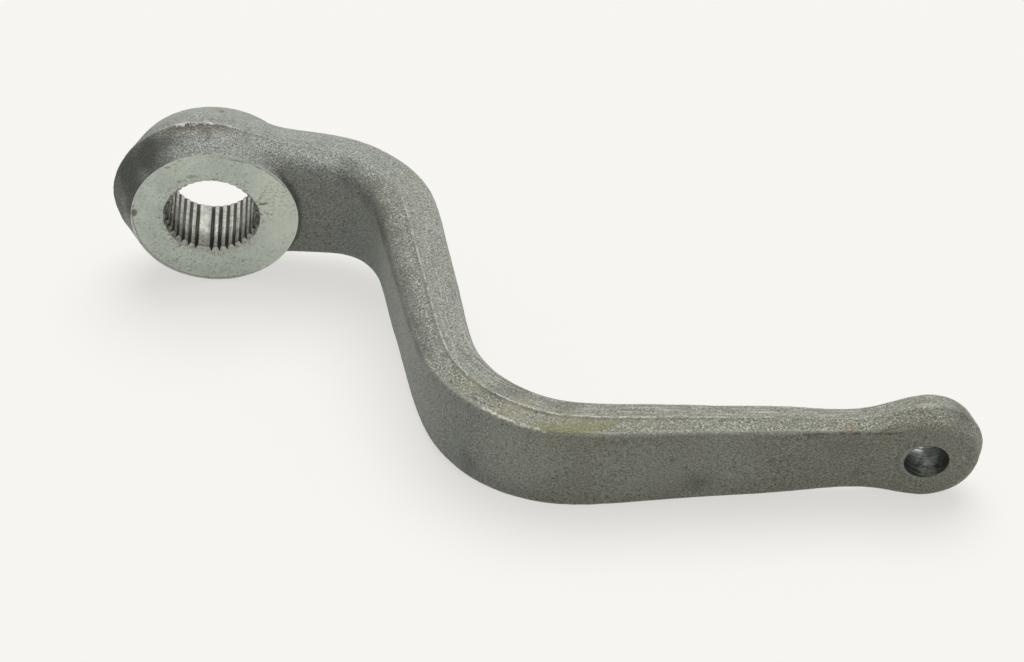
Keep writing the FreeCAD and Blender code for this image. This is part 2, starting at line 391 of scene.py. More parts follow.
# The parting line's painted shade and shadow beside it and painted highlight on its lip, by the distance in
# front of it
LIP_RAGGED = 0.5
LIP_RAGGED_TORN = 2.6
LIP_WIDTH = 0.34
LIP_WIDTH_TORN = 0.45
LIP_BREAKS = (0.40, 0.58)
SHADE_PLACE = 0.7
HOLLOW_PLACE = 1.7
SPECKLE = 0.7

# The facing cut on the boss's front, a little off its middle, and the thin line inside its rim
FACING_MIDDLE = (2.3, -0.8)
FACING_RADIUS = 26.2
FACING_WAY = (0.66, 0.0, 0.75)
FACING_WOBBLE = 0.8
FACING_RIGHT = (20.0, 24.5)
FACING_FAINT = (0.36, 0.54)
RIM_LINE_INSET = 0.7
RIM_LINE_LEFT = (-6.0, -18.0)
ROUGH_ZONE = (0.44, 0.62)
NEAR_BORE = (19.0, 16.4)

# Marks on the boss's front face: the middle in X and Z, the reach along each and the strength
RING_MARKS = (
    ((17.2, 4.9), (1.5, 0.42), 1.0),
    ((18.3, 5.4), (0.9, 0.4), 0.7),
    ((-25.3, 3.1), (1.3, 1.7), 1.0),
    ((-4.8, 17.9), (2.2, 0.9), 0.45),
    ((-9.4, 15.9), (0.9, 0.6), 0.6),
    ((-12.6, 22.3), (1.0, 0.5), 0.6),
    ((9.0, -20.0), (0.8, 0.6), 0.4),
)
RING_MARK_RAGGED = 1.4
RING_MARK_FADE = (1.1, 0.6)
RING_MARK_STRENGTH = 0.85
RING_MARK_TINT = (100, 98, 80)

# Zones in the bore and in the stud hole
# where the bore's side walls take painted shade
BORE_SIDES = (11.5, 14.8)
MOUTH_MIDDLE_X = 1.5
MOUTH_MIDDLE = (4.4, 1.0)
MOUTH_DEPTHS = (STUD_Y + 1.6, STUD_Y - 1.4)
GLEAM_X = -1.9
GLEAM_WIDTH = (3.4, 1.4)
GLEAM_DEPTHS = (STUD_Y + 1.5, STUD_Y + 5.5)

# The three feet that the arm rests on: boss, eye and lower bend
BOSS_FOOT = (-3.3, 0.45, -30.6)
EYE_FOOT = (222.0, -127.5, -18.0)
BEND_FOOT = (97.2, -119.95, -17.6)
FLOOR_RADIUS = 3000.0
FLOOR_SIDES = 96
FLOOR_FADE = (260.0, 420.0)

# The camera, at the photograph's viewing angle
CAMERA_PLACE = (85.5, -757.5, 663.9)
CAMERA_ELEVATION = 44.03
CAMERA_TURN = 1.04
CAMERA_ROLL = -1.14
CAMERA_LENS = 105.47
SENSOR_WIDTH = 36.0
NEAR_CLIP = 10.0
FAR_CLIP = 20000.0

# Light: what the sun and the sky give an upward face adds up to a plain level of 1
PALE = (0.921, 0.905, 0.871)
BOUNCE = (0.42, 0.42, 0.40)
SKY_SHARE = 0.34
SUN_ANGLE = 52.0
SUN_ELEVATION = 62.0
SUN_AZIMUTH = 78.0
SHADOW_RELIEF = 0.68


def place(x, y, z):
    return Vector((x, y, z)) * MM


def metres(sizes):
    return tuple(size * MM for size in sizes)


def add_object(name, data):
    made = bpy.data.objects.new(name, data)
    bpy.context.scene.collection.objects.link(made)
    return made


def round_end(shape, y, radius, middle):
    """A ring of corners across the Y axis, about a middle given by its X and Z."""
    ring = []
    for side in range(ROUND_SIDES):
        turn = 2.0 * math.pi * side / ROUND_SIDES
        x = middle[0] + radius * math.cos(turn)
        z = middle[1] + radius * math.sin(turn)
        ring.append(shape.verts.new(place(x, y, z)))
    return ring


def round_bar(shape, front, back):
    """Adds a closed round bar between two ends, each given by its Y, its radius and its middle."""
    near = round_end(shape, *front)
    far = round_end(shape, *back)
    shape.faces.new(near)
    shape.faces.new(far[::-1])
    for side in range(ROUND_SIDES):
        after = (side + 1) % ROUND_SIDES
        shape.faces.new((near[side], far[side], far[after], near[after]))


def boss_outline(y):
    """The boss's forged outline at a depth, run on past its faces: its Y, radius and middle."""
    if y < BOSS_RIM_Y:
        share = (BOSS_RIM_Y - y) / (BOSS_RIM_Y + BOSS_HALF_DEPTH)
        radius, middle = BOSS_FRONT_RADIUS, BOSS_FRONT_MIDDLE
    else:
        share = (y - BOSS_RIM_Y) / (BOSS_HALF_DEPTH - BOSS_RIM_Y)
        radius, middle = BOSS_BACK_RADIUS, BOSS_BACK_MIDDLE
    ends = zip((BOSS_RIM_RADIUS, *BOSS_RIM_MIDDLE), (radius, *middle))
    radius, across, up = (start + share * (end - start) for start, end in ends)
    return y, radius, (across, up)


def mesh_from(shape, name):
    mesh = bpy.data.meshes.new(name)
    shape.to_mesh(mesh)
    shape.free()
    return mesh


def bar_object(name, front, back, radius, middle):
    shape = bmesh.new()
    round_bar(shape, (front, radius, middle), (back, radius, middle))
    return add_object(name, mesh_from(shape, name))


def evaluated(owner, name):
    graph = bpy.context.evaluated_depsgraph_get()
    mesh = bpy.data.meshes.new_from_object(owner.evaluated_get(graph))
    mesh.name = name
    return mesh


def cut_away(owner, tool):
    """Takes another object's volume away from this one once it is evaluated."""
    cut = owner.modifiers.new(tool.name, "BOOLEAN")
    cut.operation = "DIFFERENCE"
    cut.solver = "EXACT"
    cut.object = tool


def solid_shape(node):
    """The frame's solid as a shape whose faces share their corners."""
    shape = bmesh.new()
    shape.from_mesh(node.data)
    bmesh.ops.remove_doubles(shape, verts=shape.verts, dist=MERGE_REACH * MM)
    return shape


def on_ridge(one, other):
    """Whether an outer edge between faces with these normals is where the two die halves met."""
    sloped = max(abs(one.y), abs(other.y)) < SLOPE_LIMIT
    same_way = abs(one.x * other.x) + one.z * other.z > SAME_WAY
    on_boss = one.y * other.y < 0.0 and sloped and same_way
    level = min(abs(one.z), abs(other.z)) > LEVEL
    on_bar = level and one.x * other.x + one.y * other.y < 0.0
    return on_boss or on_bar


def crease_points(shape):
    """Points along the forging's parting edge and along its inner creases, in metres."""
    parting = []
    creases = []
    shape.normal_update()
    for edge in shape.edges:
        if len(edge.link_faces) != 2:
            continue
        angle = math.degrees(edge.calc_face_angle_signed(0.0))
        if abs(angle) < CREASE_ANGLES[0] or abs(angle) > CREASE_ANGLES[1]:
            continue
        start = edge.verts[0].co
        end = edge.verts[1].co
        middle = (start + end) / 2
        from_bore = math.hypot(middle.x, middle.z)
        from_stud = math.hypot(middle.x - STUD_AXIS[0] * MM, middle.z)
        if from_bore < CLEAR_OF_BORE * MM or from_stud < CLEAR_OF_STUD * MM:
            continue
        steps = max(2, int((end - start).length / (CREASE_STEP * MM)))
        line = [start.lerp(end, step / steps) for step in range(steps + 1)]
        if angle < 0.0:
            if middle.x < ROOT_END_X * MM:
                creases += line
        elif on_ridge(*(face.normal for face in edge.link_faces)):
            parting += line
    return parting, creases


def search_tree(places):
    tree = KDTree(len(places))
    for number, spot in enumerate(places):
        tree.insert(spot, number)
    tree.balance()
    return tree


def distances(points, targets):
    """How far each point is from the nearest target, in millimetres."""
    tree = search_tree(targets)
    return np.array([tree.find(point)[2] for point in points]) / MM


def step_up(values, low, high):
    share = np.clip((values - low) / (high - low), 0.0, 1.0)
    return share * share * (3.0 - 2.0 * share)


def rows(items, name, width=3, kind=float):
    """One property of all the mesh's points, edges or faces, as a row for each."""
    values = np.empty(len(items) * width, dtype=kind)
    items.foreach_get(name, values)
    return values.reshape(-1, width)


def mesh_parts(mesh):
    """The mesh's points, their normals and its edges."""
    points = rows(mesh.vertices, "co")
    normals = rows(mesh.vertices, "normal")
    return points, normals, rows(mesh.edges, "vertices", 2, np.int64)


def move_points(mesh, points):
    """Moves the mesh's points and gives back their new normals."""
    mesh.vertices.foreach_set("co", points.ravel())
    mesh.update()
    return rows(mesh.vertices, "normal")


def neighbour_mean(values, edges):
    """The mean of each point's neighbours, for one or several columns of values."""
    count = len(values)
    degree = np.bincount(edges.ravel(), minlength=count)
    mean = np.empty_like(values)
    for column in range(values.shape[1]):
        total = np.bincount(edges[:, 0], values[edges[:, 1], column], minlength=count)
        total += np.bincount(edges[:, 1], values[edges[:, 0], column], minlength=count)
        mean[:, column] = total / np.maximum(degree, 1)
    return mean


def smooth(points, edges, share, rounds):
    for _ in range(rounds):
        points = points + share[:, None] * (neighbour_mean(points, edges) - points)
    return points


def noise_at(points, width, seed):
    """Smooth noise between about -1 and 1 whose bumps are about this wide."""
    shift = Vector([seed * part for part in SEED_SHIFT])
    scale = 1.0 / (width * MM)
    return np.array([noise.noise(Vector(point) * scale + shift) for point in points])


def torn_lip(points):
    """How much of the flash is torn rather than trimmed: only on the boss's upper side."""
    beside = np.abs(points[:, 0] / MM - TORN_MIDDLE_X)
    return (1.0 - step_up(beside, *TORN_BESIDE)) * step_up(points[:, 2] / MM, *TORN_ABOVE)


def ridge_points(parting):
    """The parting's points without those that lie on the bar's back edges."""
    spots = np.array(parting)
    along, across, _ = bar_fields(spots)
    return list(spots[(along < CLEAR_OF_BOSS) | (np.abs(across) < PARTING_REACH)])


def add_plugs(shape):
    """Fills both bores and lays steel over the boss's faces, for the cuts to take off again."""
    raw_end = BOSS_HALF_DEPTH + RAW_ALLOWANCE
    inner = BOSS_HALF_DEPTH - PLUG_OVERLAP
    for depths in ((-raw_end, -inner), (inner, raw_end)):
        ends = [(y, radius - PLUG_CLEARANCE, middle) for y, radius, middle in map(boss_outline, depths)]
        round_bar(shape, *ends)
    plug = (BORE_REACH + PLUG_COVER, BORE_AXIS)
    round_bar(shape, (-inner, *plug), (inner, *plug))
    plug = (STUD_REACH + PLUG_COVER, STUD_AXIS)
    round_bar(shape, (STUD_Y - STUD_HALF_DEPTH, *plug), (STUD_Y + STUD_HALF_DEPTH, *plug))


def even_mesh(shape):
    """The shape as a closed mesh of small even faces."""
    blank = add_object("blank", mesh_from(shape, "blank"))
    remesh = blank.modifiers.new("Even faces", "REMESH")
    remesh.mode = "VOXEL"
    remesh.voxel_size = VOXEL * MM
    mesh = evaluated(blank, "raw_forging")
    bpy.data.objects.remove(blank)
    return mesh


def skin_lift(points, parting):
    """How far the waves and the flash lift each point of the skin, in millimetres."""
    lift = np.zeros(len(points))
    for number, (height, width) in enumerate(WAVES):
        lift += height * noise_at(points, width, number + 1)
    away = distances(points, parting)
    broken = step_up(noise_at(points, *FLASH_NOISE), *FLASH_BREAKS)
    along = bar_fields(points)[0]
    torn = torn_lip(points) * (TORN_EVEN + TORN_UNEVEN * noise_at(points, *TORN_NOISE))
    height = FLASH_HEIGHT * broken * np.interp(along, SEAM_STATIONS, SEAM_CLARITY) + TORN_HEIGHT * torn
    return lift + height * np.exp(-((away / FLASH_WIDTH) ** 2))


def raw_forging(node):
    """The forging before machining: bores filled, faces proud, root rounded and the skin uneven."""
    shape = solid_shape(node)
    parting, creases = crease_points(shape)
    parting = ridge_points(parting)
    add_plugs(shape)
    surface = BVHTree.FromBMesh(shape)
    mesh = even_mesh(shape)
    points, _, edges = mesh_parts(mesh)
    everywhere = np.ones(len(points))
    for _ in range(SETTLE_ROUNDS):
        points = smooth(points, edges, SETTLE_IN * everywhere, 1)
        points = smooth(points, edges, SETTLE_OUT * everywhere, 1)
    points = np.array([surface.find_nearest(point)[0] for point in points])

    depth = points[:, 1] / MM
    near = 1.0 - step_up(distances(points, creases), ROOT_CORE, ROOT_REACH)
    free = step_up(depth, *RING_GUARD) * (1.0 - step_up(depth, *BACK_GUARD))
    outward = move_points(mesh, points)
    filled = smooth(points, edges, ROOT_SHARE * near * free, ROOT_ROUNDS) - points
    added = np.maximum(np.einsum("ij,ij->i", filled, outward), 0.0)
    points = points + outward * smooth(added[:, None], edges, SPREAD_SHARE * everywhere, SPREAD_ROUNDS)
    outward = move_points(mesh, points)
    move_points(mesh, points + outward * (skin_lift(points, parting) * MM)[:, None])
    return mesh, parting


def void_cutter(name, node, front, back, radius, middle):
    """What the frame's solid leaves open inside a round bar: the bore with grooves and chamfers."""
    cutter = bar_object(name, front, back, radius, middle)
    solid = add_object(name + "_solid", mesh_from(solid_shape(node), name + "_solid"))
    cut_away(cutter, solid)
    mesh = evaluated(cutter, name)
    bpy.data.objects.remove(cutter)
    bpy.data.objects.remove(solid)
    return add_object(name, mesh)


def machined(mesh, node):
    """Cuts the boss faces, the serrated bore and the stud hole into the raw forging."""
    half = BOSS_HALF_DEPTH
    through = (-half - BORE_OVERHANG, half + BORE_OVERHANG)
    across = (STUD_Y - STUD_CUT_HALF, STUD_Y + STUD_CUT_HALF)
    cutters = [
        bar_object("front_facing", -half - FACING_DEPTH, -half, FRONT_CUT_RADIUS, BORE_AXIS),
        bar_object("back_facing", half, half + FACING_DEPTH, BACK_CUT_RADIUS, BORE_AXIS),
        void_cutter("bore", node, *through, BORE_REACH, BORE_AXIS),
        void_cutter("stud", node, *across, STUD_REACH, STUD_AXIS),
    ]
    work = add_object("work", mesh)
    for cutter in cutters:
        cut_away(work, cutter)
    made = evaluated(work, "steering_arm")
    for used in [work, *cutters]:
        bpy.data.objects.remove(used)
    return made


def sort_faces(mesh):
    """Gives each face its kind, which is also its material's number."""
    centres = rows(mesh.polygons, "center") / MM
    normals = rows(mesh.polygons, "normal")
    depth = np.abs(centres[:, 1])
    from_bore = np.hypot(centres[:, 0], centres[:, 2])
    from_stud = np.hypot(centres[:, 0] - STUD_AXIS[0], centres[:, 2])
    at_end = np.abs(depth - BOSS_HALF_DEPTH) < FLAT_TOLERANCE
    flat = at_end & (from_bore < FLAT_REACH) & (np.abs(normals[:, 1]) > FLAT_FACING)
    inside = (from_bore < BORE_REACH + BORE_TOLERANCE) & (depth < BOSS_HALF_DEPTH - BORE_END)
    kinds = np.full(len(centres), SKIN, dtype=np.int32)
    kinds[flat] = MACHINED
    kinds[inside] = BORE
    kinds[from_stud < STUD_REACH + STUD_TOLERANCE] = STUD
    mesh.polygons.foreach_set("material_index", kinds)
    return kinds


def marks(points, name):
    """A cover of 0 to 1 with ragged edges over the listed marks of one kind."""
    spots, seed, edge_width, core = MARKS[name]
    ragged = noise_at(points, edge_width, seed)
    cover = np.zeros(len(points))
    for middle, reach, strength in spots:
        away = np.linalg.norm((points / MM - np.array(middle)) / np.array(reach), axis=1)
        inside = 1.0 - step_up(away + MARK_RAGGED * ragged, core, MARK_END)
        cover = np.maximum(cover, strength * inside)
    return cover


def closeness(points, lines):
    """1 on the listed lines and falling evenly to 0 at each one's reach."""
    cover = np.zeros(len(points))
    for places, reach in lines:
        for start, end in zip(places, places[1:]):
            start = np.array(start)
            run = np.array(end) - start
            share = np.clip((points / MM - start) @ run / (run @ run), 0.0, 1.0)
            away = np.linalg.norm(points / MM - start - share[:, None] * run, axis=1)
            cover = np.maximum(cover, 1.0 - away / reach)
    return cover


def centre_line():
    """Places along the bar's centre line, which way each one's front faces, and how far along it is."""
    corners = [np.array(corner) for corner in CENTRE_CORNERS]
    places = []
    start = corners[0]
    for number, radius in zip((1, 2), CENTRE_BENDS):
        into = corners[number] - corners[number - 1]
        into /= np.linalg.norm(into)
        away = corners[number + 1] - corners[number]
        away /= np.linalg.norm(away)
        turn = math.atan2(into[0] * away[1] - into[1] * away[0], into @ away)
        reach = radius * math.tan(abs(turn) / 2)
        first = corners[number] - into * reach
        hub = first + math.copysign(radius, turn) * np.array((-into[1], into[0]))
        shares = np.linspace(0.0, 1.0, CENTRE_STEPS, endpoint=False)
        places += [start + (first - start) * share for share in shares]
        arm = first - hub
        for share in shares:
            cosine, sine = math.cos(turn * share), math.sin(turn * share)
            turned = (cosine * arm[0] - sine * arm[1], sine * arm[0] + cosine * arm[1])
            places.append(hub + np.array(turned))
        start = corners[number] + away * reach
    places += [start + (corners[-1] - start) * share for share in np.linspace(0.0, 1.0, 2 * CENTRE_STEPS)]
    places = np.array(places)
    ways = np.gradient(places, axis=0)
    ways /= np.linalg.norm(ways, axis=1)[:, None]
    fronts = np.stack((ways[:, 1], -ways[:, 0]), axis=1)
    along = np.concatenate(([0.0], np.cumsum(np.linalg.norm(np.diff(places, axis=0), axis=1))))
    return places, fronts, along


def bar_fields(points):
    """For each point: how far along the bar, how far in front of its centre line, which way is front."""
    places, fronts, along = centre_line()
    tree = search_tree([(x, y, 0.0) for x, y in places])
    nearest = np.array([tree.find((x, y, 0.0))[1] for x, y, _ in points / MM])
    across = np.einsum("ij,ij->i", points[:, :2] / MM - places[nearest], fronts[nearest])
    return along[nearest], across, fronts[nearest]


def parting_side(points, parting, fronts):
    """How far in front of the parting line each point is, in millimetres; behind it is below 0."""
    seams = search_tree(parting)
    found = [seams.find(point) for point in points]
    seam = np.array([target for target, _, _ in found])
    on_boss = points[:, 0] < BOSS_RIM_RADIUS * MM
    forward = np.where(on_boss[:, None], np.array((0.0, -1.0)), fronts)
    side = np.einsum("ij,ij->i", points[:, :2] - seam[:, :2], forward) / MM
    away = np.array([distance for _, _, distance in found]) / MM
    return np.where(side < 0.0, -away, away)


def add_values(mesh, name, values):
    layer = mesh.attributes.new(name, "FLOAT", "POINT")
    layer.data.foreach_set("value", values.astype(np.float32))


def paint_zones(mesh, points, normals, along, across):
    """Paints where the skin is drawn out, where its grain is rough with painted glints, where it is calm,
    where its tops get painted shade, and where it is warm.
    """
    rise = normals[:, 2]
    on_top = step_up(np.abs(rise), *TOP_FACING)
    behind = 1.0 - step_up(across, *BEHIND_ACROSS)
    past_bend = step_up(along + ZONE_SHIFT * noise_at(points, *BEND_NOISE), *PAST_BEND)
    near_boss = 1.0 - step_up(along + ZONE_SHIFT * noise_at(points, *BOSS_NOISE), *NEAR_BOSS)
    drawn_out = FLOW_BEHIND + FLOW_PAST_BEND * past_bend + FLOW_NEAR_BOSS * near_boss
    add_values(mesh, "flow", on_top * (FLOW_ON_TOP + behind * drawn_out))
    kept = (1.0 - COARSE_LOST_BEHIND * behind) * (1.0 - COARSE_LOST_NEAR_BOSS * near_boss)
    # rough grain with painted glints and relief shading on upward faces
    add_values(mesh, "coarse_and_glints", step_up(rise, *COARSE_FACING) * kept)
    calm = near_boss * (1.0 - step_up(across, *CALM_ACROSS))
    add_values(mesh, "calm", step_up(rise, *CALM_FACING) * calm)
    # painted shade on the tops
    add_values(mesh, "top_shade", on_top * (1.0 - TOP_SHADE_LOST_BEHIND * behind) * step_up(along, *TOP_SHADE_ALONG))
    warm = points[:, 0] / MM + WARM_SHIFT * noise_at(points, *WARM_NOISE)
    add_values(mesh, "warm", step_up(warm, *WARM_X))


def paint_marks(mesh, points, normals):
    """Paints the scale with its painted shade, the painted light on the bar's front, the stains, the spots,
    and the chipped edge marks with painted highlights.
    """
    # painted light on the lower bar's front faces
    add_values(mesh, "pale", marks(points, "pale"))
    # painted shade along the valleys
    valley_shade = closeness(points, VALLEY_SHADE_LINES) + VALLEY_UNEVEN * noise_at(points, *VALLEY_NOISE)
    valley_shade = VALLEY_SHADE_STRENGTH * step_up(valley_shade, *VALLEY_FADE)
    # dark scale together with painted shade in the blots and along the valleys
    add_values(mesh, "scale", np.maximum(marks(points, "scale"), valley_shade))
    olive = closeness(points, OLIVE_LINES) + OLIVE_UNEVEN * noise_at(points, *OLIVE_NOISE)
    add_values(mesh, "olive", step_up(olive, *OLIVE_FADE) * step_up(normals[:, 2], *OLIVE_FACING))
    for name in ("tan", "brown", "rust"):
        add_values(mesh, name, marks(points, name))
    add_values(mesh, "chips_and_highlights", closeness(points, CHIP_AND_HIGHLIGHT_LINES))
    add_values(mesh, "rusty_edge", closeness(points, RUSTY_EDGES))


def paint_values(mesh, parting):
    """Paints on the points all that the skin's material reads."""
    points, normals, edges = mesh_parts(mesh)
    bulge = np.einsum("ij,ij->i", points - neighbour_mean(points, edges), normals) / MM
    bulge = neighbour_mean(bulge[:, None], edges)[:, 0]
    along, across, fronts = bar_fields(points)
    side = parting_side(points, parting, fronts)
    add_values(mesh, "bulge", np.clip(bulge / BULGE_FULL, -1.0, 1.0))
    add_values(mesh, "along", along)
    add_values(mesh, "across", across)
    add_values(mesh, "seam_side", np.clip(side, -SEAM_SIDE_LIMIT, SEAM_SIDE_LIMIT))
    add_values(mesh, "seam", np.interp(along, SEAM_STATIONS, SEAM_CLARITY))
    add_values(mesh, "torn", torn_lip(points))
    paint_zones(mesh, points, normals, along, across)
    paint_marks(mesh, points, normals)


def colour(red, green, blue):
    """A colour from its display values, 0 to 255, by the usual curve of displays."""
    def linear(value):
        share = value / 255.0
        return share / 12.92 if share <= 0.04045 else ((share + 0.055) / 1.055) ** 2.4
    return (linear(red), linear(green), linear(blue), 1.0)


class Nodes:
    """Short calls for building a node tree, with the fields that its tints and relief follow."""

    def __init__(self, owner):
        owner.use_nodes = True
        self.owner = owner
        self.tree = owner.node_tree
        self.tree.nodes.clear()
        self.fields = {}

    def add(self, kind, inputs=None, **settings):
        node = self.tree.nodes.new(kind)
        for name, value in settings.items():
            setattr(node, name, value)
        for socket, value in (inputs or {}).items():
            target = node.inputs[socket]
            if isinstance(value, bpy.types.NodeSocket):
                self.tree.links.new(value, target)
            else:
                target.default_value = value
        return node

    def coordinates(self):
        """The place on the object, whole and as its X, Y and Z, in metres."""
        where = self.add("ShaderNodeTexCoord").outputs["Object"]
        return where, self.add("ShaderNodeSeparateXYZ", {0: where}).outputs

    def value(self, name):
        """A field of this name, or else the value painted on the mesh under it."""
        if name not in self.fields:
            self.fields[name] = self.add("ShaderNodeAttribute", attribute_name=name).outputs["Fac"]
        return self.fields[name]

    def noise(self, where, scale, detail, roughness):
        inputs = {"Vector": where, "Scale": scale, "Detail": detail, "Roughness": roughness}
        return self.add("ShaderNodeTexNoise", inputs).outputs["Fac"]

    def noises(self, where, kinds):
        """Adds a field of noise from 0 to 1 for each of the listed kinds."""
        for name, (width, detail, roughness) in kinds.items():
            self.fields[name] = self.noise(where, 1.0 / (width * MM), detail, roughness)

    def ramp(self, value, low, high, to_low=0.0, to_high=1.0):
        inputs = {"Value": value, "From Min": low, "From Max": high, "To Min": to_low, "To Max": to_high}
        return self.add("ShaderNodeMapRange", inputs, interpolation_type="SMOOTHSTEP").outputs["Result"]

    def math(self, operation, one, other=0.0, clamp=False):
        return self.add("ShaderNodeMath", {0: one, 1: other}, operation=operation, use_clamp=clamp).outputs[0]

    def times(self, one, other):
        return self.math("MULTIPLY", one, other)

    def gap(self, value, middle):
        """How far a value is from the middle, to either side."""
        return self.math("ABSOLUTE", self.math("SUBTRACT", value, middle))

    def centred(self, name, reach):
        """A field of noise moved to lie about 0, times a reach."""
        return self.times(self.math("SUBTRACT", self.value(name), 0.5), reach)

    def vector(self, operation, one, other=(0.0, 0.0, 0.0), output=0):
        return self.add("ShaderNodeVectorMath", {0: one, 1: other}, operation=operation).outputs[output]

    def flat_radius(self, where, middle, units=(1.0, 1.0)):
        """The distance from an axis along Y through a middle, in units of so many metres in X and Z."""
        shifted = self.vector("ADD", where, (-middle[0] * MM, 0.0, -middle[1] * MM))
        flat = self.vector("MULTIPLY", shifted, (1.0 / units[0], 0.0, 1.0 / units[1]))
        return self.vector("LENGTH", flat, output="Value")

    def lay(self, base, tints):
        """Lays tints one over the other on a base."""
        for zone, field, limits, strength, tint in tints:
            share = strength
            if field is not None:
                share = self.ramp(self.value(field), *limits, 0.0, strength)
            if zone is not None:
                share = self.times(self.value(zone), share)
            inputs = {MIX_SHARE: share, MIX_BASE: base, MIX_TINT: colour(*tint)}
            base = self.add("ShaderNodeMix", inputs, data_type="RGBA").outputs[MIX_RESULT]
        return base

    def blend(self, share, one, other):
        return self.add("ShaderNodeMixShader", {0: share, 1: one, 2: other}).outputs[0]

    def finish(self, shader, kind="ShaderNodeOutputMaterial"):
        self.add(kind, {"Surface": shader})
        return self.owner

    def steel(self, base, metallic, roughness, relief):
        """Finishes the material as steel with its relief."""
        inputs = {"Base Color": base, "Metallic": metallic, "Roughness": roughness}
        for field, depth, strength in relief:
            bump = {"Height": self.value(field), "Distance": depth * MM, "Strength": strength}
            if "Normal" in inputs:
                bump["Normal"] = inputs["Normal"]
            inputs["Normal"] = self.add("ShaderNodeBump", bump).outputs["Normal"]
        return self.finish(self.add("ShaderNodeBsdfPrincipled", inputs).outputs[0])


def forged_skin():
    n = Nodes(bpy.data.materials.new("forged_skin"))
    where, parts = n.coordinates()
    n.noises(where, SKIN_NOISES)
    drawn = {
        "X": n.math("DIVIDE", n.value("along"), STREAK_LENGTH),
        "Y": n.math("DIVIDE", n.value("across"), STREAK_WIDTH),
        "Z": n.math("DIVIDE", parts["Z"], STREAK_WIDTH * MM),
    }
    drawn = n.add("ShaderNodeCombineXYZ", drawn).outputs[0]
    n.fields["streak"] = n.noise(drawn, 1.0, *STREAK_DETAIL)
    n.fields["flowing"] = n.times(n.value("streak"), n.value("flow"))

    torn = n.value("torn")
    ragged = n.centred("lip_noise", n.math("ADD", n.times(torn, LIP_RAGGED_TORN), LIP_RAGGED))
    side = n.math("ADD", n.value("seam_side"), ragged)
    n.fields["clarity"] = n.math("MAXIMUM", n.value("seam"), torn)
    n.fields["clear_lip"] = n.times(n.ramp(n.value("break_noise"), *LIP_BREAKS), n.value("clarity"))
    # places of the parting line's painted shade, shadow and highlight
    n.fields["from_hollow"] = n.gap(side, HOLLOW_PLACE)
    n.fields["from_shade"] = n.gap(side, SHADE_PLACE)
    width = n.math("ADD", n.times(torn, LIP_WIDTH_TORN), LIP_WIDTH)
    n.fields["from_lip"] = n.math("DIVIDE", n.math("ABSOLUTE", side), width)
    speckle = n.centred("speckle_noise", SPECKLE)
    n.fields["rusty_speckle"] = n.math("ADD", n.value("rusty_edge"), speckle)
    # edge chips with painted highlights, speckled
    n.fields["chip_and_highlight_speckle"] = n.math("ADD", n.value("chips_and_highlights"), speckle)
    base = n.lay(colour(*SKIN_GROUND), SKIN_TINTS)
    return n.steel(base, SKIN_METALLIC, n.ramp(n.value("grain"), *SKIN_ROUGHNESS), SKIN_RELIEF)


def machined_face():
    n = Nodes(bpy.data.materials.new("machined_face"))
    where, parts = n.coordinates()
    n.noises(where, RING_NOISES)
    radius = n.flat_radius(where, BORE_AXIS)
    turns = n.times(n.math("ARCTAN2", parts["Z"], parts["X"]), STROKE_TURNS)
    fan = {"X": turns, "Y": n.math("DIVIDE", radius, STROKE_WIDTH * MM)}
    n.fields["stroke"] = n.noise(n.add("ShaderNodeCombineXYZ", fan).outputs[0], 1.0, *STROKE_DETAIL)
    # the X place, for the machined face's painted reflection
    n.fields["x"] = parts["X"]
    n.fields["rough_zone"] = n.ramp(n.value("zone_noise"), *ROUGH_ZONE)
    n.fields["near_bore"] = n.ramp(radius, *metres(NEAR_BORE))

    wobble = n.centred("wobble_noise", FACING_WOBBLE * MM)
    from_facing = n.math("ADD", n.flat_radius(where, FACING_MIDDLE), wobble)
    n.fields["past_line"] = n.math("SUBTRACT", from_facing, FACING_RADIUS * MM)
    n.fields["from_line"] = n.math("ABSOLUTE", n.value("past_line"))
    upper_right = n.vector("DOT_PRODUCT", where, FACING_WAY, "Value")
    n.fields["on_right"] = n.ramp(upper_right, *metres(FACING_RIGHT))
    n.fields["lower_left"] = n.ramp(upper_right, *metres(RIM_LINE_LEFT))
    n.fields["faint"] = n.ramp(n.value("faint_noise"), *FACING_FAINT)
    n.fields["faint_right"] = n.times(n.value("on_right"), n.value("faint"))
    from_middle = n.math("ADD", n.flat_radius(where, BOSS_FRONT_MIDDLE), wobble)
    n.fields["inset"] = n.math("SUBTRACT", BOSS_FRONT_RADIUS * MM, from_middle)
    n.fields["from_rim_line"] = n.gap(n.value("inset"), RIM_LINE_INSET * MM)
    base = n.lay(colour(*RING_GROUND), RING_TINTS)

    n.fields["front"] = n.ramp(parts["Y"], 0.0, -MM)
    ragged = n.centred("pits", RING_MARK_RAGGED)
    for middle, reach, strength in RING_MARKS:
        n.fields["mark"] = n.math("ADD", n.flat_radius(where, middle, metres(reach)), ragged)
        mark = ("front", "mark", RING_MARK_FADE, RING_MARK_STRENGTH * strength, RING_MARK_TINT)
        base = n.lay(base, (mark,))
    return n.steel(base, RING_METALLIC, n.ramp(n.value("fine"), *RING_ROUGHNESS), RING_RELIEF)


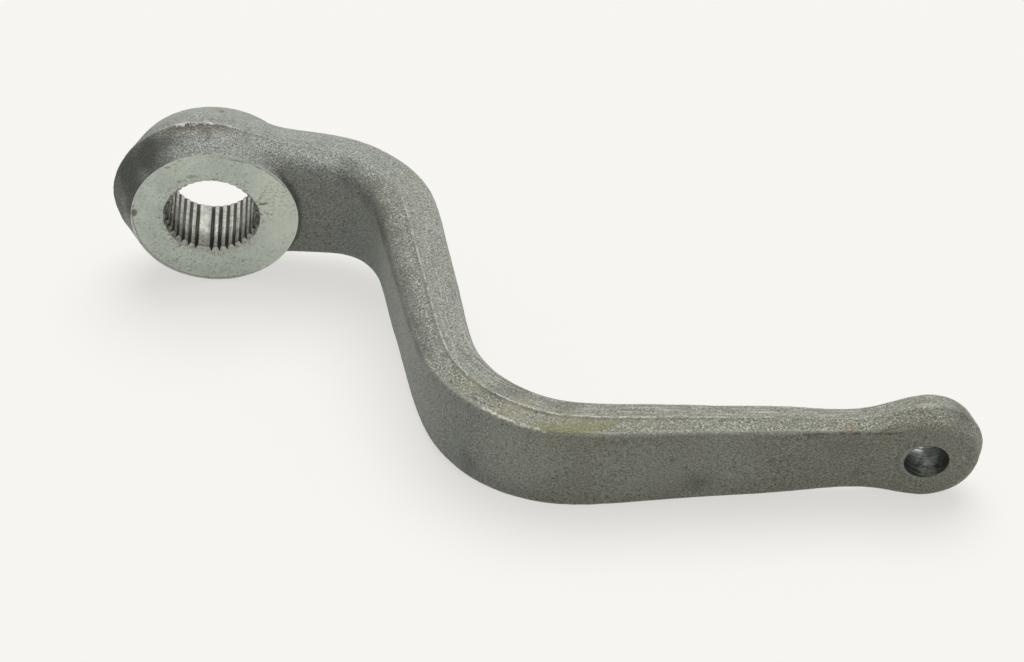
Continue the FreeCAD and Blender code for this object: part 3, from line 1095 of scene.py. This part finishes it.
def serrated_bore():
    n = Nodes(bpy.data.materials.new("serrated_bore"))
    where, parts = n.coordinates()
    n.noises(where, BORE_NOISES)
    depth = n.math("ABSOLUTE", parts["Y"])
    chamfer_radius = n.math("SUBTRACT", depth, (BOSS_HALF_DEPTH - BORE_REACH) * MM)
    land = n.math("MAXIMUM", chamfer_radius, LAND_RADIUS * MM)
    # depth into the serration grooves, for their painted shade
    n.fields["groove"] = n.math("SUBTRACT", n.flat_radius(where, BORE_AXIS), land)
    n.fields["chamfer"] = n.math("SUBTRACT", depth, CHAMFER_START * MM)
    n.fields["from_chamfer"] = n.math("ABSOLUTE", n.value("chamfer"))
    # painted shade on the bore's side walls
    n.fields["shaded_sides"] = n.ramp(n.math("ABSOLUTE", parts["X"]), *metres(BORE_SIDES))
    base = n.lay(colour(*BORE_GROUND), BORE_TINTS)
    return n.steel(base, BORE_METALLIC, BORE_ROUGHNESS, BORE_RELIEF)


def stud_wall():
    n = Nodes(bpy.data.materials.new("stud_wall"))
    where, parts = n.coordinates()
    n.noises(where, STUD_NOISES)
    tilted = n.vector("DOT_PRODUCT", where, RINGS_SLANT, "Value")
    turned = {"W": n.times(tilted, 1.0 / (RINGS_WIDTH * MM)), "Scale": 1.0, "Detail": RINGS_DETAIL}
    n.fields["rings"] = n.add("ShaderNodeTexNoise", turned, noise_dimensions="1D").outputs["Fac"]
    sideways = n.math("SUBTRACT", parts["X"], STUD_AXIS[0] * MM)
    middle = n.ramp(n.gap(sideways, MOUTH_MIDDLE_X * MM), *metres(MOUTH_MIDDLE))
    # painted light near the middle of the mouth
    n.fields["mouth_middle"] = n.times(middle, n.ramp(parts["Y"], *metres(MOUTH_DEPTHS)))
    left = n.ramp(n.gap(sideways, GLEAM_X * MM), *metres(GLEAM_WIDTH))
    n.fields["deep_left"] = n.times(left, n.ramp(parts["Y"], *metres(GLEAM_DEPTHS)))
    # distance from the axis, for the side walls' painted shade
    n.fields["from_axis"] = n.math("ABSOLUTE", sideways)
    base = n.lay(colour(*STUD_GROUND), STUD_TINTS)
    return n.steel(base, STUD_METALLIC, n.ramp(n.value("dirt_and_shade"), *STUD_ROUGHNESS), STUD_RELIEF)


def dress_arm(node):
    raw, parting = raw_forging(node)
    mesh = machined(raw, node)
    mesh.materials.clear()
    for made in (forged_skin(), machined_face(), serrated_bore(), stud_wall()):
        mesh.materials.append(made)
    kinds = sort_faces(mesh)
    paint_values(mesh, parting)
    mesh.shade_smooth()
    mesh.set_sharp_from_angle(angle=math.radians(SHARP_ANGLE))
    mesh.polygons.foreach_set("use_smooth", kinds != MACHINED)
    arm = add_object("steering_arm", mesh)
    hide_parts("arm")
    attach(arm, "root")
    return arm


def floor_material():
    n = Nodes(bpy.data.materials.new("floor"))
    path = n.add("ShaderNodeLightPath").outputs
    seen = n.math("ADD", path["Is Camera Ray"], path["Is Glossy Ray"], True)
    seen = n.math("ADD", seen, path["Is Transmission Ray"], True)
    away = n.vector("LENGTH", n.coordinates()[0], output="Value")
    far = n.ramp(n.ramp(away, *metres(FLOOR_FADE)), 0.0, 1.0, SHADOW_RELIEF, 1.0)
    lit = n.add("ShaderNodeBsdfDiffuse", {"Color": (*PALE, 1.0)}).outputs[0]
    even = n.add("ShaderNodeEmission", {"Color": (*PALE, 1.0), "Strength": 1.0}).outputs[0]
    bounce = n.add("ShaderNodeBsdfDiffuse", {"Color": (*BOUNCE, 1.0)}).outputs[0]
    above = n.blend(seen, bounce, n.blend(far, lit, even))
    under = n.add("ShaderNodeNewGeometry").outputs["Backfacing"]
    clear = n.add("ShaderNodeBsdfTransparent").outputs[0]
    return n.finish(n.blend(under, above, clear))


def add_floor(arm):
    """A pale disc through the three feet, lowered until it just touches the arm."""
    boss, eye, bend = (place(*foot) for foot in (BOSS_FOOT, EYE_FOOT, BEND_FOOT))
    upward = (eye - boss).cross(boss - bend).normalized()
    if upward.z < 0.0:
        upward = -upward
    points = rows(arm.data.vertices, "co")
    lowest = float((points @ np.array(upward)).min())
    middle = (boss + eye + bend) / 3
    middle += upward * (lowest - middle.dot(upward))
    shape = bmesh.new()
    bmesh.ops.create_circle(shape, cap_ends=True, segments=FLOOR_SIDES, radius=FLOOR_RADIUS * MM)
    floor = add_object("floor", mesh_from(shape, "floor"))
    floor.rotation_mode = "QUATERNION"
    floor.rotation_quaternion = upward.to_track_quat("Z", "Y")
    floor.location = middle
    floor.data.materials.append(floor_material())


def add_light():
    world = bpy.data.worlds.new("studio")
    bpy.context.scene.world = world
    n = Nodes(world)
    diffuse = n.add("ShaderNodeLightPath").outputs["Is Diffuse Ray"]
    seen = n.add("ShaderNodeBackground", {"Color": (*PALE, 1.0), "Strength": 1.0}).outputs[0]
    white = {"Color": (1.0, 1.0, 1.0, 1.0), "Strength": SKY_SHARE}
    sky = n.add("ShaderNodeBackground", white).outputs[0]
    n.finish(n.blend(diffuse, seen, sky), "ShaderNodeOutputWorld")

    lamp = bpy.data.lights.new("soft_sun", "SUN")
    lamp.angle = math.radians(SUN_ANGLE)
    elevation = math.radians(SUN_ELEVATION)
    azimuth = math.radians(SUN_AZIMUTH)
    lamp.energy = math.pi * (1.0 - SKY_SHARE) / math.sin(elevation)
    level = math.cos(elevation)
    toward = Vector((math.cos(azimuth) * level, math.sin(azimuth) * level, math.sin(elevation)))
    sun = add_object("soft_sun", lamp)
    sun.rotation_mode = "QUATERNION"
    sun.rotation_quaternion = toward.to_track_quat("Z", "Y")


def add_camera():
    lens = bpy.data.cameras.new("camera")
    lens.sensor_width = SENSOR_WIDTH
    lens.lens = CAMERA_LENS
    lens.clip_start = NEAR_CLIP * MM
    lens.clip_end = FAR_CLIP * MM
    camera = add_object("camera", lens)
    turn = Matrix.Rotation(math.radians(-CAMERA_TURN), 4, "Z")
    tip = Matrix.Rotation(math.radians(90.0 - CAMERA_ELEVATION), 4, "X")
    roll = Matrix.Rotation(math.radians(CAMERA_ROLL), 4, "Z")
    camera.matrix_world = Matrix.Translation(place(*CAMERA_PLACE)) @ turn @ tip @ roll
    bpy.context.scene.camera = camera


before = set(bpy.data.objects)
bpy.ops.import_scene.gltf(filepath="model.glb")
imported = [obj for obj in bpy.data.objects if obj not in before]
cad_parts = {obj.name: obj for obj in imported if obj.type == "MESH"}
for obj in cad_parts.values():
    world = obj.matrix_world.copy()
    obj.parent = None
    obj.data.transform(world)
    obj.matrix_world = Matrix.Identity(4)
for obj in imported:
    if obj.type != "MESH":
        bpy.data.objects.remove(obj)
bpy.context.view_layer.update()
bpy.context.scene.view_settings.view_transform = "Standard"
arm = dress_arm(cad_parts["arm"])
add_floor(arm)
add_light()
add_camera()
